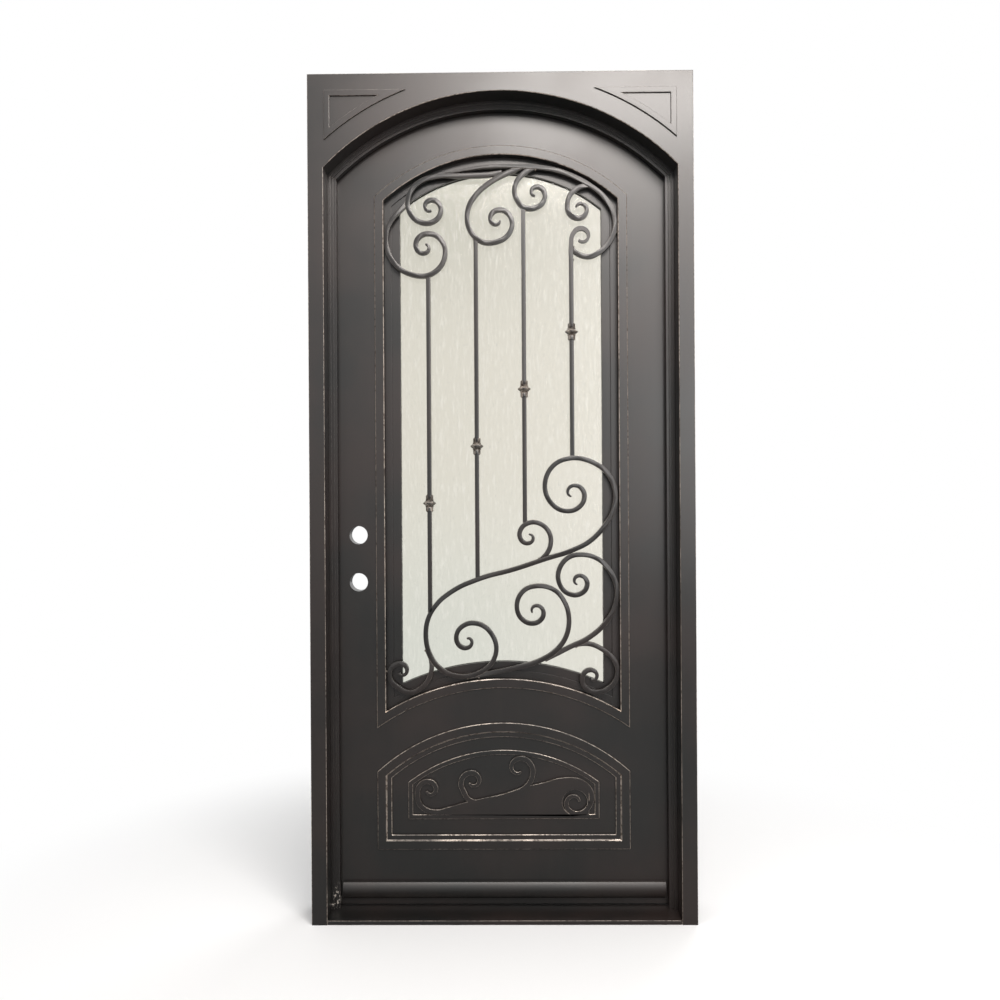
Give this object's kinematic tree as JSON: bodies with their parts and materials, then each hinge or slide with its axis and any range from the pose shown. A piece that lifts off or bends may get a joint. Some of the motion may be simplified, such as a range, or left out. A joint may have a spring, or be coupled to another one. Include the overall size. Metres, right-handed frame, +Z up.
{
  "type": "wrought iron entry door",
  "caption": "Arch-topped wrought iron entry door with a glazed, scroll-filled light and a moulded kick panel, hung to swing inwards in its square steel frame.",
  "frame": {"origin": "middle of the sill's underside, halfway through the frame's depth", "axes": "+Z up, +X to the right seen from the street, +Y into the house"},
  "size_m": [1.105, 0.175, 2.44],
  "materials": {
    "bronze_paint": "dark bronze paint, hand-rubbed to copper along the edges",
    "rain_glass": "rain-textured glass",
    "hinge_steel": "oiled dark steel",
    "sill_metal": "dark bronze paint, worn bright on the front edge"
  },
  "bodies": {
    "frame": {"sill": "sill_metal", "left_jamb": "bronze_paint", "right_jamb": "bronze_paint", "arched_head": "bronze_paint", "left_stop": "bronze_paint", "right_stop": "bronze_paint", "arch_stop": "bronze_paint", "corner_mouldings": "bronze_paint", "frame_hinge_1": "hinge_steel", "frame_hinge_2": "hinge_steel", "frame_hinge_3": "hinge_steel"},
    "leaf": {"lock_stile": "bronze_paint", "hinge_stile": "bronze_paint", "top_rail": "bronze_paint", "middle_rail": "bronze_paint", "bottom_rail": "bronze_paint", "kick_panel": "bronze_paint", "light_surround": "bronze_paint", "kick_mouldings": "bronze_paint", "kick_bead": "bronze_paint", "kick_scrollwork": "bronze_paint", "drip_rail": "bronze_paint", "light_flange": "bronze_paint", "sash_frame": "bronze_paint", "glazing_bead": "bronze_paint", "glass_pane": "rain_glass", "sash_hinges": "hinge_steel", "sash_latches": "hinge_steel", "crown_scroll": "bronze_paint", "upper_left_scroll": "bronze_paint", "left_side_scroll": "bronze_paint", "centre_left_scroll": "bronze_paint", "centre_right_scroll": "bronze_paint", "right_shoulder_scroll": "bronze_paint", "long_s_scroll": "bronze_paint", "lower_left_curl": "bronze_paint", "inner_scroll": "bronze_paint", "right_side_scroll": "bronze_paint", "lower_right_curl": "bronze_paint", "small_curl": "bronze_paint", "pickets": "bronze_paint", "leaf_hinge_1": "hinge_steel", "leaf_hinge_2": "hinge_steel", "leaf_hinge_3": "hinge_steel"}
  },
  "joints": [
    {"name": "leaf_swing", "type": "hinge", "parent": "frame", "child": "leaf", "pos_m": [0.505, 0.086, 0], "axis": [0, 0, -1], "range_deg": [0, 110]}
  ]
}
